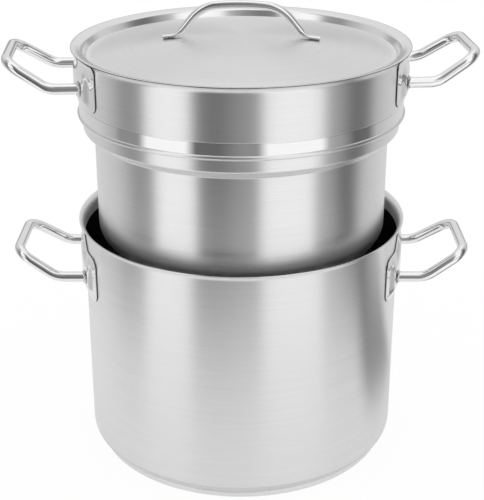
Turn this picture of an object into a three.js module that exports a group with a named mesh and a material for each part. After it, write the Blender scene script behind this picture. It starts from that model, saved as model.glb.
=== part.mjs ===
// A stainless steel double boiler: a lower water pot, an insert pot that hangs in it by its
// stepped shoulder, and a lid. The insert is shown held up above its seat, with the lid on it.
// Millimetres, +Z up. The origin is the centre of the base, on the surface that the pot stands on.
import * as THREE from "three";
import { mergeVertices } from "three/addons/utils/BufferGeometryUtils.js";

// Fineness of the round forms, in counts.
const ROUND_SEGMENTS = 48;
const BEND_STEPS = 4;
const CORNER_STEPS = 3;
const DOME_STEPS = 7;
const TUBE_SIDES = 10;
const BORE_SIDES = 5;
const BRACKET_COLUMNS = 14;
const BRACKET_CORNER_COLUMNS = 3;

// Shared sizes.
const SHEET = 0.8;
const CLEARANCE = 0.3;

// Lower pot.
const POT_RADIUS = 160.8;
const POT_HEIGHT = 246.7;
const POT_CORNER = 14;
const POT_LIP_BEND = 6;
const POT_LIP_TURN_DEG = 75;

// Encapsulated base under the lower pot.
const CAP_INSET = 7.8;
const CAP_SHEET = 0.8;
const CAP_CORNER = 2.4;
const CORE_THICKNESS = 3.8;

// Insert pot: its sizes from the underside up, each height measured from the end of the last, and
// each inset or proud measured from the brushed wall under its lip.
const INSERT_INSET = 1.6;
const INSERT_CORNER = 20;
const BODY_HEIGHT = 111.3;
const STEP_HEIGHT = 7.8;
const STEP_RUN = 10.7;
const COLLAR_HEIGHT = 12.1;
const COLLAR_INSET = 3;
const LEDGE_SLOPE_DEG = 18;
const BEAD_BEND = 2.3;
const BEAD_PROUD = 2.2;
const BAND_PROUD = 0.7;
const BAND_HEIGHT = 11.2;
const TOP_BAND_HEIGHT = 50.4;
const INSERT_LIP_BEND = 7;
const INSERT_LIP_TURN_DEG = 58;
const INSERT_TURN_DEG = 4;
// How far the insert is held above its seat on the lower pot's lip.
const INSERT_LIFT = 112.5;

// Lid: a dome inside a sloping ring that drops into the insert's mouth, and a flat flange.
const LID_FLANGE = 3.3;
const LID_RING_RUN = 10.1;
const LID_RING_RISE = 10.6;
const LID_VALLEY = 1.5;
const LID_DOME_RISE = 18.6;
const LID_TURN_DEG = -2.6;

// Lid handle: a round tube with flattened feet, sizes from its ends to its middle.
const LID_TUBE_RADIUS = 4;
const LID_TUBE_WALL = 1;
const LID_HANDLE_HALF = 76.2;
const LID_FOOT = 15.5;
const LID_FOOT_THICKNESS = 3.3;
const LID_FOOT_WIDTH = 10.6;
const LID_KNEE_BEND = 18;
const LID_LEG_RUN = 22.3;
const LID_LEG_RISE = 27.4;
const LID_SHOULDER_BEND = 34;
const LID_ARCH_RISE = 3.4;
const LID_ARCH_BEND = 250;

// Side handles, all four alike, and where their legs stand below each rim.
const TUBE_RADIUS = 5.2;
const TUBE_WALL = 1.2;
const LEG_SPACING = 96.8;
const GRIP_SPACING = 83.2;
const LEG_LENGTH = 25.2;
const GRIP_RUN = 39;
const GRIP_RISE = 24.5;
const LEG_BEND = 27;
const GRIP_BEND = 18;
const WELD_LEG = 2.2;
const POT_HANDLE_DROP = 53;
const INSERT_HANDLE_DROP = 29.7;

// Brackets that carry the side handles: stamped plates on the wall, raised under the legs. The
// insert's brackets end on the lip, part of the way round its bend.
const BRACKET_SHEET = 1;
const BRACKET_RAISE = 3;
const BRACKET_LAND = 0.9;
const BRACKET_SLOPE = 14;
const BRACKET_FOOT_SLOPE = 8;
const BRACKET_HEAD_SLOPE = 14;
const BRACKET_CORNER = 10;
const POT_BRACKET_FLANGE = 6;
const POT_BRACKET_FOOT = 2.2;
const POT_BRACKET_SHOULDER = 28.2;
const POT_CREST_GAP = 3.6;
const INSERT_BRACKET_FLANGE = 9.5;
const INSERT_BRACKET_FOOT = 1.4;
const INSERT_BRACKET_TURN_DEG = 54;
const CREST_HALF = 34;
const CREST_SLOPE = 18;

const radians = THREE.MathUtils.degToRad;

const satinSteel = new THREE.MeshStandardMaterial({ color: 0xc4c5c6, roughness: 0.34, metalness: 1 });
const polishedSteel = new THREE.MeshStandardMaterial({ color: 0xd8d9da, roughness: 0.1, metalness: 1 });
const weldSteel = new THREE.MeshStandardMaterial({ color: 0xb4b5b6, roughness: 0.28, metalness: 1 });
const castAluminium = new THREE.MeshStandardMaterial({ color: 0xa9abad, roughness: 0.5, metalness: 1 });

// Points of an arc in a profile's (radius, height) plane, from one angle to another in degrees.
function arc(centreR, centreZ, radius, fromDeg, toDeg, steps) {
  const points = [];
  for (let i = 0; i <= steps; i++) {
    const angle = radians(fromDeg + ((toDeg - fromDeg) * i) / steps);
    points.push(new THREE.Vector2(centreR + radius * Math.cos(angle), centreZ + radius * Math.sin(angle)));
  }
  return points;
}

// The same path moved sideways, to the left of its direction for a positive distance.
function offsetPath(path, distance) {
  const last = path.length - 1;
  return path.map((point, i) => {
    const first = path[Math.max(i, 1)].clone().sub(path[Math.max(i - 1, 0)]).normalize();
    const second = path[Math.min(i + 1, last)].clone().sub(path[Math.min(i, last - 1)]).normalize();
    const mitre = first.clone().add(second).normalize();
    const stretch = distance / mitre.dot(first);
    return new THREE.Vector2(point.x - mitre.y * stretch, point.y + mitre.x * stretch);
  });
}

// A turned sheet part: its outer path from the axis to the rim, thickened to the left.
function turnedSheet(outerPath, thickness) {
  const inner = offsetPath(outerPath, thickness);
  inner[0].x = 0;
  return turned([...outerPath, ...inner.reverse()]);
}

// A solid of revolution about Z from a closed profile.
function turned(profile) {
  const geometry = new THREE.LatheGeometry(profile, ROUND_SEGMENTS);
  return geometry.rotateX(Math.PI / 2);
}

// Height of a lip's top edge over the start of its bend.
function lipTop(bend, turnDeg) {
  return (bend + SHEET) * Math.sin(radians(turnDeg));
}

// The outward lip at the top of a wall, as the outer face of its sheet.
function lip(wallRadius, startHeight, bend, turnDeg) {
  return arc(wallRadius + bend, startHeight, bend, 180, 180 - turnDeg, BEND_STEPS);
}

// Heights of the base's layers, and radii that the lower pot sets.
const capRadius = POT_RADIUS - CAP_INSET;
const coreBottom = CAP_SHEET + CLEARANCE;
const potBottom = coreBottom + CORE_THICKNESS + CLEARANCE;
const potLipStart = POT_HEIGHT - lipTop(POT_LIP_BEND, POT_LIP_TURN_DEG);

function potShell() {
  return turnedSheet(
    [
      new THREE.Vector2(0, potBottom),
      ...arc(POT_RADIUS - POT_CORNER, potBottom + POT_CORNER, POT_CORNER, -90, 0, BEND_STEPS),
      ...lip(POT_RADIUS, potLipStart, POT_LIP_BEND, POT_LIP_TURN_DEG),
    ],
    SHEET,
  );
}

// Height of the lower pot's rounded bottom corner over a radius.
function potCornerHeight(radius) {
  const inward = radius - (POT_RADIUS - POT_CORNER);
  return potBottom + POT_CORNER - Math.sqrt(POT_CORNER ** 2 - inward ** 2);
}

function baseCore() {
  const radius = capRadius - CAP_SHEET - CLEARANCE;
  const corner = CAP_CORNER - CAP_SHEET - CLEARANCE;
  return turned([
    new THREE.Vector2(0, coreBottom),
    ...arc(radius - corner, coreBottom + corner, corner, -90, 0, CORNER_STEPS),
    new THREE.Vector2(radius, coreBottom + CORE_THICKNESS),
    new THREE.Vector2(0, coreBottom + CORE_THICKNESS),
  ]);
}

function baseCap() {
  const top = potCornerHeight(capRadius - CAP_SHEET) - CLEARANCE;
  return turnedSheet(
    [
      new THREE.Vector2(0, 0),
      ...arc(capRadius - CAP_CORNER, CAP_CORNER, CAP_CORNER, -90, 0, CORNER_STEPS),
      new THREE.Vector2(capRadius, top),
    ],
    CAP_SHEET,
  );
}

// Radii of the insert's walls, of the foot of its polished band and of its bead's round.
const topBandRadius = POT_RADIUS - INSERT_INSET;
const bandFootRadius = topBandRadius + BAND_PROUD;
const collarRadius = topBandRadius - COLLAR_INSET;
const bodyRadius = collarRadius - STEP_RUN;
const beadCentreRadius = topBandRadius + BEAD_PROUD - BEAD_BEND;

// Angles, from level, between which the bead is round: from its ledge to the polished band.
const beadFromDeg = LEDGE_SLOPE_DEG - 90;
const beadToDeg = THREE.MathUtils.radToDeg(Math.acos((bandFootRadius - beadCentreRadius) / BEAD_BEND));

// Heights over the insert's underside.
const stepTop = BODY_HEIGHT + STEP_HEIGHT;
const ledgeStart = stepTop + COLLAR_HEIGHT;
const beadCentre = ledgeStart + ledgeRise() - BEAD_BEND * Math.sin(radians(beadFromDeg));
const bandFoot = beadCentre + BEAD_BEND * Math.sin(radians(beadToDeg));
const crease = bandFoot + BAND_HEIGHT;
const insertHeight = crease + TOP_BAND_HEIGHT;
const insertLipStart = insertHeight - lipTop(INSERT_LIP_BEND, INSERT_LIP_TURN_DEG);

// Height that the ledge under the bead gains on its way out from the collar.
function ledgeRise() {
  const run = beadCentreRadius + BEAD_BEND * Math.cos(radians(beadFromDeg)) - collarRadius;
  return run * Math.tan(radians(LEDGE_SLOPE_DEG));
}

function insertShell() {
  return turnedSheet(
    [
      new THREE.Vector2(0, 0),
      ...arc(bodyRadius - INSERT_CORNER, INSERT_CORNER, INSERT_CORNER, -90, 0, BEND_STEPS),
      new THREE.Vector2(bodyRadius, BODY_HEIGHT),
      new THREE.Vector2(collarRadius, stepTop),
      new THREE.Vector2(collarRadius, ledgeStart),
      ...arc(beadCentreRadius, beadCentre, BEAD_BEND, beadFromDeg, beadToDeg, BEND_STEPS),
      new THREE.Vector2(topBandRadius, crease),
      ...lip(topBandRadius, insertLipStart, INSERT_LIP_BEND, INSERT_LIP_TURN_DEG),
    ],
    SHEET,
  );
}

// Height of the insert's underside when its bead rests on the round inner face of the lower
// pot's lip: the centres of the two rounds then lie both radii and a clearance apart.
function seatedInsertHeight() {
  const reach = POT_LIP_BEND + SHEET + CLEARANCE + BEAD_BEND;
  const outward = POT_RADIUS + POT_LIP_BEND - beadCentreRadius;
  return potLipStart + Math.sqrt(reach ** 2 - outward ** 2) - beadCentre;
}

// Heights of the lid over the insert's underside.
const lidEdge = insertHeight + CLEARANCE + SHEET;
const ringFoot = lidEdge - LID_RING_RISE;
const valleyHeight = ringFoot - SHEET;

// Radius of the foot of the lid's ring, set so that the ring clears the insert's round lip.
function ringFootRadius() {
  const reach = INSERT_LIP_BEND + SHEET + CLEARANCE + SHEET;
  const slant = Math.hypot(LID_RING_RUN, LID_RING_RISE);
  const lipOverFoot = insertLipStart - ringFoot;
  const inward = (reach * slant + lipOverFoot * LID_RING_RUN) / LID_RING_RISE;
  return topBandRadius + INSERT_LIP_BEND - inward;
}

const valleyRadius = ringFootRadius() - LID_VALLEY;
const domeRadius = (valleyRadius ** 2 + LID_DOME_RISE ** 2) / (2 * LID_DOME_RISE);

// Height of the lid's domed top over a radius.
function domeHeight(radius) {
  return valleyHeight + LID_DOME_RISE - domeRadius + Math.sqrt(domeRadius ** 2 - radius ** 2);
}

function lidPan() {
  const top = [];
  const domeEdge = valleyRadius - 2 * LID_VALLEY;
  for (let i = 0; i <= DOME_STEPS; i++) {
    const radius = (domeEdge * i) / DOME_STEPS;
    top.push(new THREE.Vector2(radius, domeHeight(radius)));
  }
  const flangeStart = ringFootRadius() + LID_RING_RUN;
  top.push(new THREE.Vector2(valleyRadius, valleyHeight), new THREE.Vector2(ringFootRadius(), ringFoot));
  top.push(new THREE.Vector2(flangeStart, lidEdge), new THREE.Vector2(flangeStart + LID_FLANGE, lidEdge));
  const underside = offsetPath(top, -SHEET);
  underside[0].x = 0;
  return turned([...underside, ...top.reverse()]);
}

// A polyline with its inner corners rounded, as stations for a tube.
function roundedStations(corners, bends, steps) {
  const stations = [corners[0].clone()];
  for (let i = 1; i < corners.length - 1; i++) {
    const into = corners[i].clone().sub(corners[i - 1]).normalize();
    const out = corners[i + 1].clone().sub(corners[i]).normalize();
    const turn = into.angleTo(out);
    const normal = out.clone().addScaledVector(into, -out.dot(into)).normalize();
    const start = corners[i].clone().addScaledVector(into, -bends[i - 1] * Math.tan(turn / 2));
    for (let j = 0; j <= steps; j++) {
      const angle = (turn * j) / steps;
      const along = bends[i - 1] * Math.sin(angle);
      const across = bends[i - 1] * (1 - Math.cos(angle));
      stations.push(start.clone().addScaledVector(into, along).addScaledVector(normal, across));
    }
  }
  stations.push(corners[corners.length - 1].clone());
  return stations;
}

// A path that visits its stations one by one, however far apart they lie.
class StationPath extends THREE.Curve {
  constructor(stations) {
    super();
    this.stations = stations;
  }

  getUtoTmapping(u) {
    return u;
  }

  getPoint(t, target = new THREE.Vector3()) {
    const last = this.stations.length - 1;
    const place = Math.round(t * last);
    return target.copy(this.stations[place]);
  }

  getTangent(t, target = new THREE.Vector3()) {
    const last = this.stations.length - 1;
    const place = Math.round(t * last);
    const from = this.stations[Math.max(place - 1, 0)];
    const to = this.stations[Math.min(place + 1, last)];
    return target.subVectors(to, from).normalize();
  }
}

function polygon(radius, sides) {
  const corners = [];
  for (let i = 0; i < sides; i++) {
    const angle = (2 * Math.PI * i) / sides;
    corners.push(new THREE.Vector2(radius * Math.cos(angle), radius * Math.sin(angle)));
  }
  return corners;
}

// An open-ended tube along its stations.
function tube(stations, radius, wall) {
  const section = new THREE.Shape(polygon(radius, TUBE_SIDES));
  section.holes.push(new THREE.Path(polygon(radius - wall, BORE_SIDES)));
  return new THREE.ExtrudeGeometry(section, {
    steps: stations.length - 1,
    bevelEnabled: false,
    extrudePath: new StationPath(stations),
  });
}

// Moves each vertex by a function that changes it in place.
function moveVertices(geometry, change) {
  const position = geometry.getAttribute("position");
  const vertex = new THREE.Vector3();
  for (let i = 0; i < position.count; i++) {
    vertex.fromBufferAttribute(position, i);
    change(vertex);
    position.setXYZ(i, vertex.x, vertex.y, vertex.z);
  }
  geometry.computeVertexNormals();
  return geometry;
}

// Distance from the pot's axis at which a bracket's raised face carries the legs.
function bracketFace(wallRadius) {
  return wallRadius + CLEARANCE + BRACKET_RAISE + BRACKET_SHEET;
}

// Distance along X from the axis to a round wall, this far to the side.
function wallReach(radius, side) {
  return Math.sqrt(radius ** 2 - side ** 2);
}

// A side handle, along +X from the wall. Both ends are cut to the curve of the bracket's face.
function sideHandle(wallRadius) {
  const root = bracketFace(wallRadius) + CLEARANCE;
  const rootReach = wallReach(root, LEG_SPACING / 2);
  const bendReach = wallRadius + LEG_LENGTH;
  const half = [
    new THREE.Vector3(rootReach, LEG_SPACING / 2, 0),
    new THREE.Vector3(bendReach, LEG_SPACING / 2, 0),
    new THREE.Vector3(bendReach + GRIP_RUN, GRIP_SPACING / 2, GRIP_RISE),
  ];
  const mirrored = half.map((corner) => new THREE.Vector3(corner.x, -corner.y, corner.z));
  const corners = [...half, ...mirrored.reverse()];
  const stations = roundedStations(corners, [LEG_BEND, GRIP_BEND, GRIP_BEND, LEG_BEND], BEND_STEPS);
  const geometry = tube(stations, TUBE_RADIUS, TUBE_WALL);
  return moveVertices(geometry, (vertex) => {
    if (vertex.x < rootReach + CLEARANCE) vertex.x = wallReach(root, vertex.y);
  });
}

// The bead of weld round one leg, laid on the bracket's face.
function legWeld(wallRadius, side) {
  const face = bracketFace(wallRadius) + CLEARANCE;
  const bore = TUBE_RADIUS + CLEARANCE;
  const section = [
    new THREE.Vector2(bore, 0),
    new THREE.Vector2(bore + WELD_LEG, 0),
    new THREE.Vector2(bore, WELD_LEG),
    new THREE.Vector2(bore, 0),
  ];
  const geometry = new THREE.LatheGeometry(section, TUBE_SIDES);
  geometry.rotateZ(-Math.PI / 2);
  geometry.translate(0, (side * LEG_SPACING) / 2, 0);
  return moveVertices(geometry, (vertex) => {
    vertex.x += wallReach(face, vertex.y);
  });
}

// Outline of a bracket, measured from the middle of the legs that it carries, and the start and
// bend of the lip over it.
function bracketOutline(sizes) {
  const land = TUBE_RADIUS + CLEARANCE + WELD_LEG + BRACKET_LAND;
  const raisedHalf = LEG_SPACING / 2 + land + BRACKET_SLOPE;
  const raisedBelow = land + BRACKET_FOOT_SLOPE;
  return {
    ...sizes,
    raisedHalf,
    raisedBelow,
    halfWidth: raisedHalf + sizes.flange,
    below: raisedBelow + sizes.foot,
  };
}

// 1 on the raised middle, falling smoothly to 0 over a slope that ends at the given distance.
function fall(distance, end, slope) {
  return 1 - THREE.MathUtils.smoothstep(distance, end - slope, end);
}

// Distances along the wall of a bracket's columns, closer together at its rounded corners.
function bracketColumns(bracket) {
  const columns = [];
  const straight = bracket.halfWidth - BRACKET_CORNER;
  for (let i = BRACKET_CORNER_COLUMNS; i > 0; i--) {
    const angle = (Math.PI / 2) * (i / BRACKET_CORNER_COLUMNS);
    columns.push(-straight - BRACKET_CORNER * Math.sin(angle));
  }
  for (let i = 0; i <= BRACKET_COLUMNS; i++) {
    columns.push(-straight + (2 * straight * i) / BRACKET_COLUMNS);
  }
  for (let i = 1; i <= BRACKET_CORNER_COLUMNS; i++) {
    const angle = (Math.PI / 2) * (i / BRACKET_CORNER_COLUMNS);
    columns.push(straight + BRACKET_CORNER * Math.sin(angle));
  }
  return columns;
}

// Height of a bracket's top edge at a distance along the wall, before its corners are rounded.
function bracketTop(bracket, along) {
  const crest = fall(Math.abs(along), CREST_HALF + CREST_SLOPE, CREST_SLOPE);
  return bracket.shoulder + (bracket.crest - bracket.shoulder) * crest;
}

// Heights of a bracket's rows at a distance along the wall: its edges, and the ends and middles
// of its slopes, all drawn together where the corners are rounded.
function bracketRows(bracket, along) {
  const overCorner = Math.max(Math.abs(along) - (bracket.halfWidth - BRACKET_CORNER), 0);
  const inset = BRACKET_CORNER - Math.sqrt(Math.max(BRACKET_CORNER ** 2 - overCorner ** 2, 0));
  const top = bracketTop(bracket, along);
  const foot = -bracket.raisedBelow;
  const head = Math.min(top, bracket.lipStart);
  const marks = [-bracket.below, foot, foot + BRACKET_FOOT_SLOPE / 2, foot + BRACKET_FOOT_SLOPE];
  marks.push(head - BRACKET_HEAD_SLOPE, head - BRACKET_HEAD_SLOPE / 2, head);
  if (top > head) marks.push((head + top) / 2, top);
  const squeeze = 1 - (2 * inset) / (top + bracket.below);
  return marks.map((mark) => (mark + bracket.below) * squeeze - bracket.below + inset);
}

// A point of a bracket's sheet, this deep in it from its face on the wall. Over the start of the
// lip the sheet follows the lip's bend.
function bracketPoint(wallRadius, bracket, along, height, depth) {
  const head = Math.min(bracketTop(bracket, along), bracket.lipStart);
  const across = fall(Math.abs(along), bracket.raisedHalf, BRACKET_SLOPE);
  const down = fall(-height, bracket.raisedBelow, BRACKET_FOOT_SLOPE);
  const up = fall(height, head, BRACKET_HEAD_SLOPE);
  const bend = bracket.lipBend - CLEARANCE;
  const curl = Math.max(height - bracket.lipStart, 0) / (bend - BRACKET_SHEET / 2);
  const outward = (bend - depth) * (1 - Math.cos(curl));
  const radius = wallRadius + CLEARANCE + depth + BRACKET_RAISE * across * down * up + outward;
  const angle = along / wallRadius;
  const z = Math.min(height, bracket.lipStart) + (bend - depth) * Math.sin(curl);
  return new THREE.Vector3(radius * Math.cos(angle), radius * Math.sin(angle), z);
}

// A handle's bracket, round the wall on +X, its height measured from the handle's legs.
function handleBracket(wallRadius, bracket) {
  const columns = bracketColumns(bracket);
  const vertices = [];
  for (const depth of [0, BRACKET_SHEET]) {
    for (const along of columns) {
      for (const height of bracketRows(bracket, along)) {
        vertices.push(...bracketPoint(wallRadius, bracket, along, height, depth));
      }
    }
  }
  return sheetGrid(vertices, columns.length, bracketRows(bracket, 0).length);
}

// Closes two equal grids of vertices, the inner one first, into one sheet.
function sheetGrid(vertices, columnCount, rowCount) {
  const layer = columnCount * rowCount;
  const faces = [];
  const quad = (a, b, c, d) => faces.push(a, b, c, a, c, d);
  const at = (column, row) => column * rowCount + row;
  for (let column = 0; column < columnCount - 1; column++) {
    for (let row = 0; row < rowCount - 1; row++) {
      const corners = [at(column, row), at(column + 1, row), at(column + 1, row + 1), at(column, row + 1)];
      quad(...corners.map((corner) => corner + layer));
      quad(...corners.reverse());
    }
  }
  const border = [];
  for (let column = 0; column < columnCount - 1; column++) border.push(at(column, 0));
  for (let row = 0; row < rowCount - 1; row++) border.push(at(columnCount - 1, row));
  for (let column = columnCount - 1; column > 0; column--) border.push(at(column, rowCount - 1));
  for (let row = rowCount - 1; row > 0; row--) border.push(at(0, row));
  border.forEach((from, i) => {
    const to = border[(i + 1) % border.length];
    quad(from, to, to + layer, from + layer);
  });
  const geometry = new THREE.BufferGeometry();
  geometry.setAttribute("position", new THREE.Float32BufferAttribute(vertices, 3));
  geometry.setIndex(faces);
  geometry.computeVertexNormals();
  return geometry;
}

// The lid's handle, over +X and -X from its middle, its feet laid along the dome and flattened.
function lidHandle() {
  const footRise = LID_FOOT_THICKNESS / 2 + CLEARANCE;
  const knee = LID_HANDLE_HALF - LID_FOOT;
  const kneeHeight = domeHeight(knee) + footRise;
  const shoulderHeight = kneeHeight + LID_LEG_RISE;
  const half = [
    new THREE.Vector3(LID_HANDLE_HALF, 0, domeHeight(LID_HANDLE_HALF) + footRise),
    new THREE.Vector3(knee, 0, kneeHeight),
    new THREE.Vector3(knee - LID_LEG_RUN, 0, shoulderHeight),
  ];
  const mirrored = half.map((corner) => new THREE.Vector3(-corner.x, 0, corner.z));
  const crown = new THREE.Vector3(0, 0, shoulderHeight + LID_ARCH_RISE);
  const bends = [LID_KNEE_BEND, LID_SHOULDER_BEND, LID_ARCH_BEND, LID_SHOULDER_BEND, LID_KNEE_BEND];
  const stations = roundedStations([...half, crown, ...mirrored.reverse()], bends, BEND_STEPS);
  const path = new StationPath(stations);
  const geometry = tube(stations, LID_TUBE_RADIUS, LID_TUBE_WALL);
  return moveVertices(geometry, (vertex) => flattenFoot(vertex, path, knee));
}

// Squeezes a vertex of the lid's handle towards the foot's flat section, past the knee.
function flattenFoot(vertex, path, knee) {
  const distances = path.stations.map((station) => station.distanceTo(vertex));
  const nearest = distances.indexOf(Math.min(...distances));
  const centre = path.stations[nearest];
  const share = THREE.MathUtils.smoothstep(Math.abs(centre.x), knee - LID_TUBE_RADIUS, knee + LID_TUBE_RADIUS);
  const thin = LID_FOOT_THICKNESS / (2 * LID_TUBE_RADIUS);
  const wide = LID_FOOT_WIDTH / (2 * LID_TUBE_RADIUS);
  const tangent = path.getTangent(nearest / (path.stations.length - 1));
  const normal = new THREE.Vector3(-tangent.z, 0, tangent.x);
  const proud = vertex.clone().sub(centre).dot(normal);
  vertex.addScaledVector(normal, proud * (thin - 1) * share);
  vertex.y *= 1 + (wide - 1) * share;
}

function part(name, geometry, material) {
  const mesh = new THREE.Mesh(mergeVertices(geometry.deleteAttribute("normal").deleteAttribute("uv")), material);
  mesh.geometry.computeVertexNormals();
  mesh.name = name;
  return mesh;
}

// Bracket, handle and welds of one pot, on its right (+X) and again on its left.
function handles(owner, wallRadius, bracket, height) {
  const pair = new THREE.Group();
  const sides = [
    { name: "right", turn: 0, front: -1 },
    { name: "left", turn: Math.PI, front: 1 },
  ];
  for (const side of sides) {
    const set = new THREE.Group();
    const prefix = owner + "_" + side.name;
    set.add(part(prefix + "_bracket", handleBracket(wallRadius, bracket), polishedSteel));
    set.add(part(prefix + "_handle", sideHandle(wallRadius), polishedSteel));
    set.add(part(prefix + "_front_weld", legWeld(wallRadius, side.front), weldSteel));
    set.add(part(prefix + "_rear_weld", legWeld(wallRadius, -side.front), weldSteel));
    set.rotation.z = side.turn;
    set.position.z = height;
    pair.add(set);
  }
  return pair;
}

const potHandleHeight = POT_HEIGHT - POT_HANDLE_DROP;
const potBracket = bracketOutline({
  flange: POT_BRACKET_FLANGE,
  foot: POT_BRACKET_FOOT,
  shoulder: POT_BRACKET_SHOULDER,
  crest: potLipStart - POT_CREST_GAP - potHandleHeight,
  lipStart: potLipStart - potHandleHeight,
  lipBend: POT_LIP_BEND,
});

const lowerPot = new THREE.Group();
lowerPot.add(part("pot_shell", potShell(), satinSteel));
lowerPot.add(part("pot_base_core", baseCore(), castAluminium));
lowerPot.add(part("pot_base_cap", baseCap(), satinSteel));
lowerPot.add(handles("pot", POT_RADIUS, potBracket, potHandleHeight));

const lid = new THREE.Group();
lid.add(part("lid_pan", lidPan(), satinSteel));
lid.add(part("lid_handle", lidHandle(), polishedSteel));
lid.rotation.z = radians(LID_TURN_DEG);

// The insert's brackets reach up round its lip, with a straight top edge.
const insertHandleHeight = insertHeight - INSERT_HANDLE_DROP;
const insertBracketCurl = (INSERT_LIP_BEND - CLEARANCE - BRACKET_SHEET / 2) * radians(INSERT_BRACKET_TURN_DEG);
const insertBracketTop = insertLipStart - insertHandleHeight + insertBracketCurl;
const insertBracket = bracketOutline({
  flange: INSERT_BRACKET_FLANGE,
  foot: INSERT_BRACKET_FOOT,
  shoulder: insertBracketTop,
  crest: insertBracketTop,
  lipStart: insertLipStart - insertHandleHeight,
  lipBend: INSERT_LIP_BEND,
});

const insert = new THREE.Group();
insert.add(part("insert_shell", insertShell(), satinSteel));
const insertHandles = handles("insert", topBandRadius, insertBracket, insertHandleHeight);
insertHandles.rotation.z = radians(INSERT_TURN_DEG);
insert.add(insertHandles);
insert.add(lid);
insert.position.z = seatedInsertHeight() + INSERT_LIFT;

const doubleBoiler = new THREE.Group();
doubleBoiler.add(lowerPot);
doubleBoiler.add(insert);

export default doubleBoiler;
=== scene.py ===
"""Looks of the double boiler: fine meshes over the CAD solids, brushed and polished steel, a studio."""

import math

import bpy
from mathutils import Matrix, Vector


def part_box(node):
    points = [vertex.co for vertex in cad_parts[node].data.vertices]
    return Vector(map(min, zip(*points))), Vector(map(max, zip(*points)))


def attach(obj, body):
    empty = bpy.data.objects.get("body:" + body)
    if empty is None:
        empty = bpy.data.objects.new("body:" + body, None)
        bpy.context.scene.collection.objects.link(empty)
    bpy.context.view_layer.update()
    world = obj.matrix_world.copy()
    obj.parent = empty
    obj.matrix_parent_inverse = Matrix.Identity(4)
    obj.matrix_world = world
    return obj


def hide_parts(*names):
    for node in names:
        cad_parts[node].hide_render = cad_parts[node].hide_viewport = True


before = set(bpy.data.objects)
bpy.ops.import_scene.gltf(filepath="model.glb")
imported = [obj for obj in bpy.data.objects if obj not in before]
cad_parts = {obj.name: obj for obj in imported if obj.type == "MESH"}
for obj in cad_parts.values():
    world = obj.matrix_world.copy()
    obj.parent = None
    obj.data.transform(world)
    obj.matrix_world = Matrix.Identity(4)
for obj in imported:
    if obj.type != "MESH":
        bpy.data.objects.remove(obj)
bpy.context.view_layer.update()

MM = 0.001

# Fineness of the round forms, in counts.
ROUND_SEGMENTS = 192
BEND_STEPS = 10
EDGE_STEPS = 4
TUBE_SIDES = 36
PLATE_COLUMNS = 110
PLATE_ROWS = 40
CORNER_STEPS = 12
DOME_STEPS = 32

# The same in millimetres: the longest gap between the stations of the lid's handle, how far in from a
# plate's edge its outermost rows lie, and what counts as on the axis and on a face.
STATION_GAP = 3.0
EDGE_ROWS = (0.0, 0.12, 0.3, 0.55)
ON_AXIS = 1e-6
ON_FACE = 0.01

# Turns from face to face, in degrees, over which the edge between them is sharp.
ROUND_SHARP_DEG = 24
PLATE_SHARP_DEG = 40
TUBE_SHARP_DEG = 50

# The solids' own sizes, in millimetres.
SHEET = 0.8
CLEARANCE = 0.3

POT_RADIUS = 160.8
POT_HEIGHT = 246.7
POT_CORNER = 14
POT_LIP_BEND = 6
POT_LIP_TURN_DEG = 75

CAP_INSET = 7.8
CAP_SHEET = 0.8
CAP_CORNER = 2.4
CORE_THICKNESS = 3.8

INSERT_INSET = 1.6
INSERT_CORNER = 20
BODY_HEIGHT = 111.3
STEP_HEIGHT = 7.8
STEP_RUN = 10.7
COLLAR_HEIGHT = 12.1
COLLAR_INSET = 3
LEDGE_SLOPE_DEG = 18
BEAD_BEND = 2.3
BEAD_PROUD = 2.2
BAND_PROUD = 0.7
BAND_HEIGHT = 11.2
TOP_BAND_HEIGHT = 50.4
INSERT_LIP_BEND = 7
INSERT_LIP_TURN_DEG = 58
INSERT_TURN_DEG = 4

LID_FLANGE = 3.3
LID_RING_RUN = 10.1
LID_RING_RISE = 10.6
LID_VALLEY = 1.5
LID_DOME_RISE = 18.6
LID_TURN_DEG = -2.6

LID_TUBE_RADIUS = 4
LID_HANDLE_HALF = 76.2
LID_FOOT = 15.5
LID_FOOT_THICKNESS = 3.3
LID_FOOT_WIDTH = 10.6
LID_KNEE_BEND = 18
LID_LEG_RUN = 22.3
LID_LEG_RISE = 27.4
LID_SHOULDER_BEND = 34
LID_ARCH_RISE = 3.4
LID_ARCH_BEND = 250

TUBE_RADIUS = 5.2
LEG_SPACING = 96.8
GRIP_SPACING = 83.2
LEG_LENGTH = 25.2
GRIP_RUN = 39
GRIP_RISE = 24.5
LEG_BEND = 27
GRIP_BEND = 18
WELD_LEG = 2.2
POT_HANDLE_DROP = 53
INSERT_HANDLE_DROP = 29.7

BRACKET_SHEET = 1
BRACKET_RAISE = 3
BRACKET_LAND = 0.9
BRACKET_SLOPE = 14
BRACKET_FOOT_SLOPE = 8
BRACKET_HEAD_SLOPE = 14
BRACKET_CORNER = 10
POT_BRACKET_FLANGE = 6
POT_BRACKET_FOOT = 2.2
POT_BRACKET_SHOULDER = 28.2
POT_CREST_GAP = 3.6
INSERT_BRACKET_FLANGE = 9.5
INSERT_BRACKET_FOOT = 1.4
INSERT_BRACKET_TURN_DEG = 54
CREST_HALF = 34
CREST_SLOPE = 18

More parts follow.
